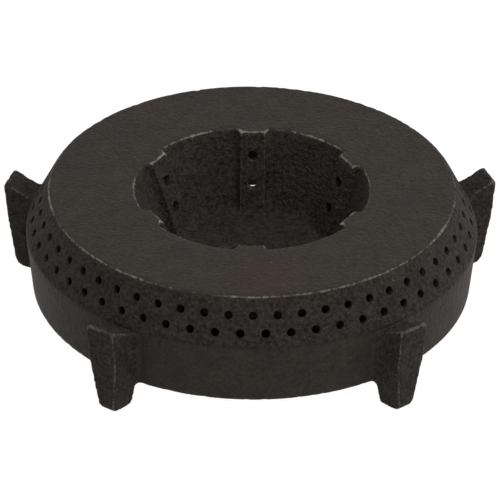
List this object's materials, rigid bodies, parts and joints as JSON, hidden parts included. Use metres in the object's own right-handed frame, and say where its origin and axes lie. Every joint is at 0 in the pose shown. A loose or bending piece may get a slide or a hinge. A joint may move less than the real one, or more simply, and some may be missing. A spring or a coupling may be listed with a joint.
{
  "type": "gas burner head",
  "caption": "Cast-iron gas burner head: flat top plate, sloping port band, tapered central well with ported bosses, and lugs around the skirt.",
  "frame": {"origin": "on the burner's axis, in the plane of the skirt's rim, where the head seats on its base", "axes": "+Z along the axis, from the rim to the top plate; -Y is the front of the picture"},
  "size_m": [0.1406, 0.1361, 0.0376],
  "materials": {
    "cast_iron": "as-cast sand texture, blackened, with machined top plate, band and skirt"
  },
  "bodies": {
    "root": {"burner_head": "cast_iron"}
  },
  "joints": []
}
